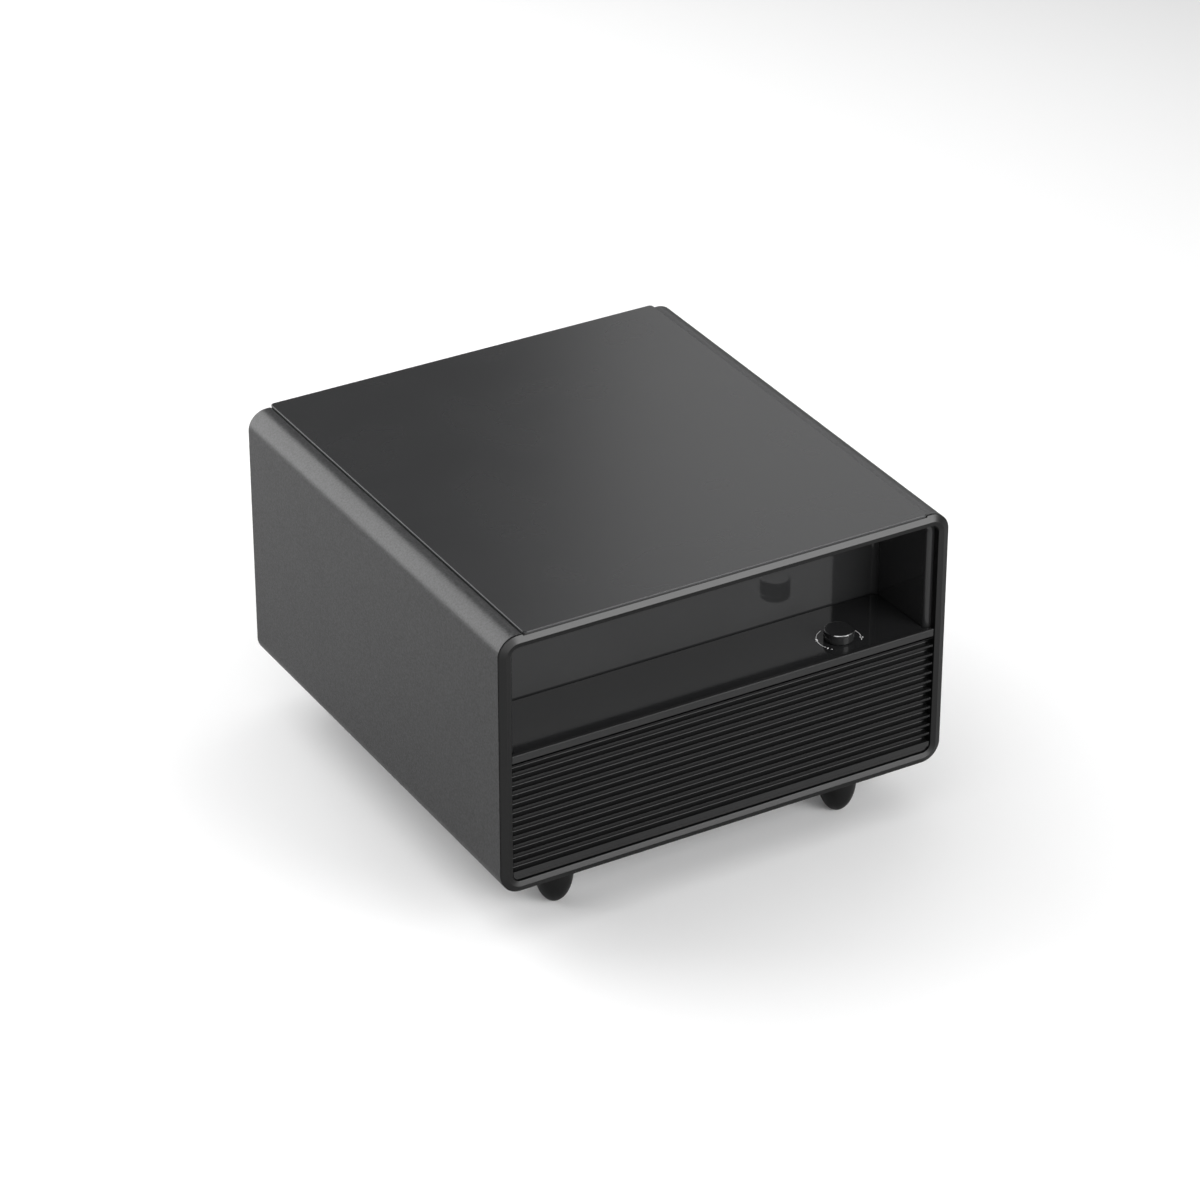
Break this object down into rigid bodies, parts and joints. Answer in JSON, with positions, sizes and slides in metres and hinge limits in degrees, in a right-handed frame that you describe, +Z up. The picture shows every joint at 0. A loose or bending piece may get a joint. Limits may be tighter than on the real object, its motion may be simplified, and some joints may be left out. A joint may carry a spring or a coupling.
{
  "type": "refrigerator coffee table",
  "caption": "Low table with a glass top over a rounded steel cabinet on feet, an open niche with a turning knob, and a cooled drawer behind a ribbed front.",
  "frame": {"origin": "centre of the table's outline on the floor, under the four feet", "axes": "+X to the right as seen from the front, +Y to the back, +Z up"},
  "size_m": [0.65, 0.686, 0.4505],
  "materials": {
    "shell_paint": "fine textured powder coat",
    "frame_metal": "brushed, dark tinted",
    "top_glass": "satin, painted behind",
    "niche_glass": "glossy black",
    "niche_plastic": "glossy black",
    "front_gloss": "satin black",
    "knob_finish": "anodised dark, bright cut edge",
    "knob_face": "glossy black",
    "dark_plastic": "matt black",
    "foot_plastic": "satin black",
    "inner_plastic": "smooth white",
    "foam": "rigid foam",
    "seal_rubber": "soft",
    "zinc_steel": "zinc plated",
    "rear_steel": "matt black coat",
    "compressor_paint": "black enamel",
    "copper": "drawn copper",
    "bare_aluminium": "mill finish",
    "circuit_board": "solder mask"
  },
  "bodies": {
    "cabinet": {"side_shell_left": "shell_paint", "side_shell_right": "shell_paint", "front_frame": "frame_metal", "glass_top": "top_glass", "top_panel": "dark_plastic", "base_pan": "zinc_steel", "rear_panel": "rear_steel", "rear_panel_screws": "zinc_steel", "niche_liner": "niche_plastic", "niche_floor_glass": "niche_glass", "niche_shelf": "dark_plastic", "knob_encoder": "zinc_steel", "cold_tank": "inner_plastic", "cabinet_insulation": "foam", "cold_front_trim": "dark_plastic", "evaporator_plate": "bare_aluminium", "slide_outer_left": "zinc_steel", "slide_outer_right": "zinc_steel", "compressor": "compressor_paint", "compressor_base": "compressor_paint", "compressor_grommets": "seal_rubber", "condenser_coil": "copper", "condenser_fins": "bare_aluminium", "fan_housing": "dark_plastic", "fan_motor": "zinc_steel", "discharge_line": "copper", "suction_line": "copper", "filter_drier": "copper", "liquid_line": "copper", "control_box": "dark_plastic", "control_board": "circuit_board", "power_inlet": "dark_plastic", "inlet_pins": "copper", "foot_front_left": "foot_plastic", "foot_front_right": "foot_plastic", "foot_rear_left": "foot_plastic", "foot_rear_right": "foot_plastic", "foot_studs": "zinc_steel", "foot_nuts": "zinc_steel"},
    "drawer": {"drawer_front_panel": "front_gloss", "drawer_front_core": "foam", "drawer_front_liner": "inner_plastic", "drawer_gasket": "seal_rubber", "drawer_bin": "inner_plastic", "slide_inner_left": "zinc_steel", "slide_inner_right": "zinc_steel"},
    "slide_left": {"slide_mid_left": "zinc_steel", "slide_balls_left": "zinc_steel"},
    "slide_right": {"slide_mid_right": "zinc_steel", "slide_balls_right": "zinc_steel"},
    "knob": {"knob_cap": "knob_finish", "knob_disc": "knob_face", "knob_shaft": "zinc_steel"},
    "fan": {"fan_rotor": "dark_plastic"}
  },
  "joints": [
    {"name": "drawer_slide", "type": "slide", "parent": "cabinet", "child": "drawer", "axis": [0, -1, 0], "range_m": [0, 0.38]},
    {"name": "slide_left_travel", "type": "slide", "parent": "cabinet", "child": "slide_left", "axis": [0, -1, 0], "range_m": [0, 0.19]},
    {"name": "slide_right_travel", "type": "slide", "parent": "cabinet", "child": "slide_right", "axis": [0, -1, 0], "range_m": [0, 0.19]},
    {"name": "knob_turn", "type": "hinge", "parent": "cabinet", "child": "knob", "pos_m": [0.192, -0.2968, 0.28], "axis": [0, 0, 1], "range_deg": [-135, 135]},
    {"name": "fan_spin", "type": "hinge", "parent": "cabinet", "child": "fan", "pos_m": [-0.06012, 0.29, 0.1414], "axis": [0, 1, 0], "continuous": true}
  ],
  "couplings": [
    {"joint": "slide_left_travel", "follows": "drawer_slide", "ratio": 0.5},
    {"joint": "slide_right_travel", "follows": "drawer_slide", "ratio": 0.5}
  ]
}
